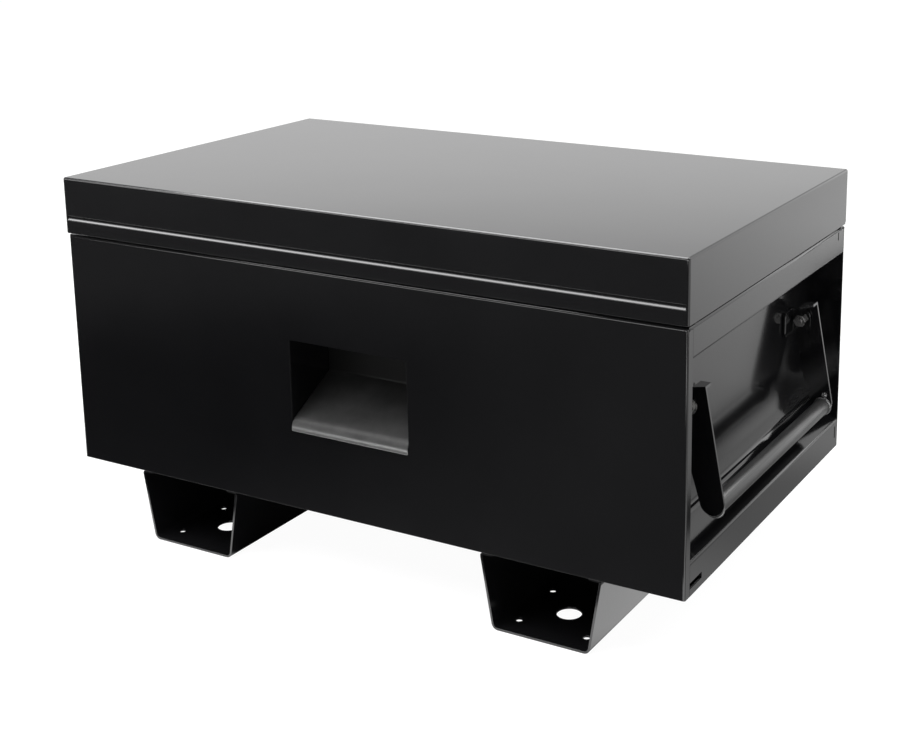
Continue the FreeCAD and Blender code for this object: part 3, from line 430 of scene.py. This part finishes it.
def makeFinish(name):
    material, tree, shader, skin = startFinish(name)
    if "dark" in finishValues[name]:
        feed(tree, shader.inputs["Base Color"], patchColour(tree, name, skin.outputs["Patch"]))
    return material


# ramps over the height, in mm
pocketPaint = {
    "hem": (182, 192, 0.62, 1),         # share of the floor's roughness
    "gloss": 0.12,                      # roughness that every part keeps
    # painted light: the floor's colour is lighter near the hem, where light comes in
    "lipLight": (185, 198, 2.0, 0.6),
    # painted shade: black above the floor's back edge, deep in the pocket
    "backShade": (229, 232, 1, 0),
    "bare": (181.6, 187.0, 1, 0),
    "bareSteel": (0.34, 0.34, 0.34),
    "specular": 0.1,
}


def makePocketPaint():
    # thin, dry powder on the floor, patchy in tone and with painted light, lighter near the hem; a
    # glossier hem rubbed bare; painted shade, black, on the back wall behind
    name = "pocketBlackPaint"
    material, tree, shader, skin = startFinish(name)
    height = axes(tree, objectPlace(tree))[2]
    hem, lipLight, backShade, bare = (
        ramp(tree, height, low * mm, high * mm, start, end)
        for low, high, start, end in (pocketPaint[key] for key in ("hem", "lipLight", "backShade", "bare")))
    dull = maths(tree, "SUBTRACT", skin.outputs["Roughness"], pocketPaint["gloss"])
    feed(tree, shader.inputs["Roughness"],
         maths(tree, "MULTIPLY_ADD", hem, dull, pocketPaint["gloss"]))
    # painted light near the hem and painted shade at the back, laid over the paint's own patchy
    # tone
    shadeLightAndTone = maths(tree, "MULTIPLY", maths(tree, "MULTIPLY", backShade, lipLight), skin.outputs["Patch"])
    feed(tree, shader.inputs["Base Color"],
         mixColours(tree, bare, patchColour(tree, name, shadeLightAndTone), (*pocketPaint["bareSteel"], 1)))
    feed(tree, shader.inputs["Metallic"], bare)
    shader.inputs["Specular IOR Level"].default_value = pocketPaint["specular"]
    return material


blackPaint = makeFinish("glossBlackPaint")
weldBlack = makeFinish("weldBlack")
slotFinishes = {
    "black_paint": blackPaint,
    "black_hinge": makeFinish("hingeBlackPaint"),
    "black_fasteners": makeFinish("blackOxide"),
    "zinc_steel": makeFinish("zincPlate"),
}
nodeFinishes = {
    "pocket_wrap": makePocketPaint(),
    "right_handle_grip": makeFinish("gripBlackPaint"),
}
nodeFinishes["left_handle_grip"] = nodeFinishes["right_handle_grip"]
edges = {
    "plain": (0.35, 2),                 # mm wide, segments
    "pocket_wrap": (0.7, 4),
    "lid_pan": (0.45, 2),
    "angle": 30,                        # degrees, bends that are flatter stay as they are
    "gap": 0.005,                       # mm
}


def softenEdges(piece, width, segments):
    # folded and sheared sheet has no knife edges: a small round that catches the light
    weldTogether = piece.modifiers.new("weld", "WELD")
    weldTogether.merge_threshold = edges["gap"] * mm
    bevel = piece.modifiers.new("bevel", "BEVEL")
    bevel.width = width * mm
    bevel.segments = segments
    bevel.limit_method = "ANGLE"
    bevel.angle_limit = math.radians(edges["angle"])
    bevel.use_clamp_overlap = False
    bevel.harden_normals = True


for name, piece in nodes.items():
    slotName = piece.data.materials[0].name
    piece.data.materials[0] = nodeFinishes.get(name, slotFinishes[slotName])
    softenEdges(piece, *edges.get(name, edges["plain"]))
print("nodes painted")


# welds

weld = {
    "ripple": 1.3,          # mm, from one ripple to the next
    "swell": 1.16,          # how much wider a ripple's crest is than its valley
    "taper": 0.6,           # how narrow a bead is at its ends
    "bead": 1.7,            # mm, radius of a straight bead
    "sides": 10,
    "smoothAngle": 50,      # degrees
}
gripWeld = {
    "axis": (407.07, 160.93),           # mm, x and z
    "ends": (-168.33, 164.68),          # mm, inner faces of the arms
    "major": 9.75,          # mm, middle of the ring of weld round the grip
    "minor": 1.5,
    "steps": 54,
    "rippleSteps": 3,
    "rippleHeight": 0.28,
    "blob": 3.9,            # mm, where the ring was started and ended
    "blobPlace": (2, 0.2, 4.4),         # mm, outwards, along the grip and above the ring
    "blobShape": (1.0, 0.55, 0.9),
}


def settle(piece, name, body, finish):
    # the place goes into the mesh, the skin is closed and faces outwards
    pick(piece)
    bpy.ops.object.transform_apply(location=True, rotation=True, scale=True)
    bpy.ops.object.mode_set(mode="EDIT")
    bpy.ops.mesh.select_all(action="SELECT")
    bpy.ops.mesh.remove_doubles(threshold=0.01 * mm)
    bpy.ops.mesh.normals_make_consistent(inside=False)
    bpy.ops.object.mode_set(mode="OBJECT")
    bpy.ops.object.shade_smooth_by_angle(angle=math.radians(weld["smoothAngle"]))
    piece.name = piece.data.name = name
    piece.data.materials.clear()
    piece.data.materials.append(finish)
    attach(piece, body)


def joinPieces(pieces):
    clearSelection()
    for piece in pieces:
        piece.select_set(True)
    bpy.context.view_layer.objects.active = pieces[0]
    bpy.ops.object.join()
    return pieces[0]


def straightBead(start, end):
    # a ring drawn out along the seam, wider and narrower in turn
    start, end = Vector(start) * mm, Vector(end) * mm
    run = end - start
    steps = max(4, 2 * round(run.length / (weld["ripple"] * mm)))
    clearSelection()
    bpy.ops.mesh.primitive_circle_add(vertices=weld["sides"], fill_type="NGON",
                                      radius=weld["bead"] * weld["taper"] * mm,
                                      location=(0, 0, 0))
    bead = bpy.context.object
    bpy.ops.object.mode_set(mode="EDIT")
    for step in range(steps):
        bpy.ops.mesh.extrude_region_move(
            TRANSFORM_OT_translate={"value": (0, 0, run.length / steps)})
        if step == 0:
            grow = 1 / weld["taper"]
        elif step == steps - 2:
            grow = weld["taper"]
        else:
            grow = weld["swell"] if step % 2 else 1 / weld["swell"]
        bpy.ops.transform.resize(value=(grow, grow, 1))
    bpy.ops.object.mode_set(mode="OBJECT")
    bead.rotation_mode = "QUATERNION"
    bead.rotation_quaternion = run.to_track_quat("Z", "Y")
    bead.location = start
    pick(bead)
    bpy.ops.object.transform_apply(location=True, rotation=True, scale=True)
    return bead


def gripRing(side, end):
    # a ring of weld between the grip and an arm, with a blob on top where it was closed
    x, z = gripWeld["axis"]
    clearSelection()
    bpy.ops.mesh.primitive_torus_add(
        location=(side * x * mm, end * mm, z * mm), rotation=(math.radians(90), 0, 0),
        major_radius=gripWeld["major"] * mm, minor_radius=gripWeld["minor"] * mm,
        major_segments=gripWeld["steps"], minor_segments=weld["sides"])
    ring = bpy.context.object
    bpy.ops.object.transform_apply(location=True, rotation=True, scale=True)
    for index, vertex in enumerate(ring.data.vertices):
        vertex.select = (index // weld["sides"]) % gripWeld["rippleSteps"] == 0
    bpy.ops.object.mode_set(mode="EDIT")
    bpy.ops.mesh.select_mode(type="VERT")
    bpy.ops.transform.shrink_fatten(value=gripWeld["rippleHeight"] * mm)
    bpy.ops.object.mode_set(mode="OBJECT")
    inward = 1 if end < 0 else -1
    outwards, along, above = gripWeld["blobPlace"]
    clearSelection()
    bpy.ops.mesh.primitive_uv_sphere_add(
        segments=20, ring_count=12, radius=gripWeld["blob"] * mm,
        location=(side * (x + outwards) * mm, (end + along * inward) * mm,
                  (z + gripWeld["major"] + above) * mm))
    blob = bpy.context.object
    blob.scale = gripWeld["blobShape"]
    bpy.ops.object.transform_apply(location=True, rotation=True, scale=True)
    return [ring, blob]


bracketWelds = {
    "wall": 366.0,          # mm, recess wall
    "reach": 2.2,           # mm, bead's middle out from the wall
    "front": (-163.4, -137.0, -136.4),      # mm, y of the foot bead's ends and of the side bead
    "rear": (159.8, 133.4, 132.8),
    "foot": 252.1,          # mm, height of the foot bead
    "side": (254.6, 278.4),             # mm, heights of the side bead's ends
}


def makeHandleWelds():
    x, foot = bracketWelds["wall"] + bracketWelds["reach"], bracketWelds["foot"]
    low, high = bracketWelds["side"]
    for side, name in ((1, "right"), (-1, "left")):
        pieces = []
        for end in gripWeld["ends"]:
            pieces += gripRing(side, end)
        settle(joinPieces(pieces), name + "_grip_welds", name + "_handle", weldBlack)
        pieces = []
        for row in ("front", "rear"):
            outer, inner, middle = bracketWelds[row]
            pieces.append(straightBead((side * x, outer, foot), (side * x, inner, foot)))
            pieces.append(straightBead((side * x, middle, low), (side * x, middle, high)))
        settle(joinPieces(pieces), name + "_bracket_welds", "box", blackPaint)


hingeSpots = {
    "face": 234.15,         # mm, outside of the hinge's body leaf
    "level": 351.0,
    "radius": 3.1,
    "rim": 0.35,            # mm, raised ring round each spot
    "count": 13,
    "spread": 376,          # mm, middle of the row to its last spot
    "insets": ((0.7, 0), (0.6, -0.3), (0.9, -0.03)),    # mm, width and depth
}


def makeHingeSpots():
    # spot welds: a shallow dish inside a raised ring
    clearSelection()
    bpy.ops.mesh.primitive_cylinder_add(
        vertices=28, radius=hingeSpots["radius"] * mm, depth=2 * hingeSpots["rim"] * mm,
        location=(0, hingeSpots["face"] * mm, hingeSpots["level"] * mm),
        rotation=(math.radians(-90), 0, 0))
    spot = bpy.context.object
    bpy.ops.object.transform_apply(location=True, rotation=True, scale=True)
    for face in spot.data.polygons:
        face.select = face.normal.y > 0.9
    bpy.ops.object.mode_set(mode="EDIT")
    bpy.ops.mesh.select_mode(type="FACE")
    for width, depth in hingeSpots["insets"]:
        bpy.ops.mesh.inset(thickness=width * mm, depth=depth * mm)
    bpy.ops.object.mode_set(mode="OBJECT")
    spots = []
    for index in range(hingeSpots["count"]):
        copy = spot.copy()
        copy.data = spot.data.copy()
        bpy.context.scene.collection.objects.link(copy)
        copy.location.x = (2 * index / (hingeSpots["count"] - 1) - 1) * hingeSpots["spread"] * mm
        spots.append(copy)
    bpy.data.objects.remove(spot)
    settle(joinPieces(spots), "hinge_spot_welds", "box", slotFinishes["black_hinge"])


makeHandleWelds()
makeHingeSpots()
print("welds laid")
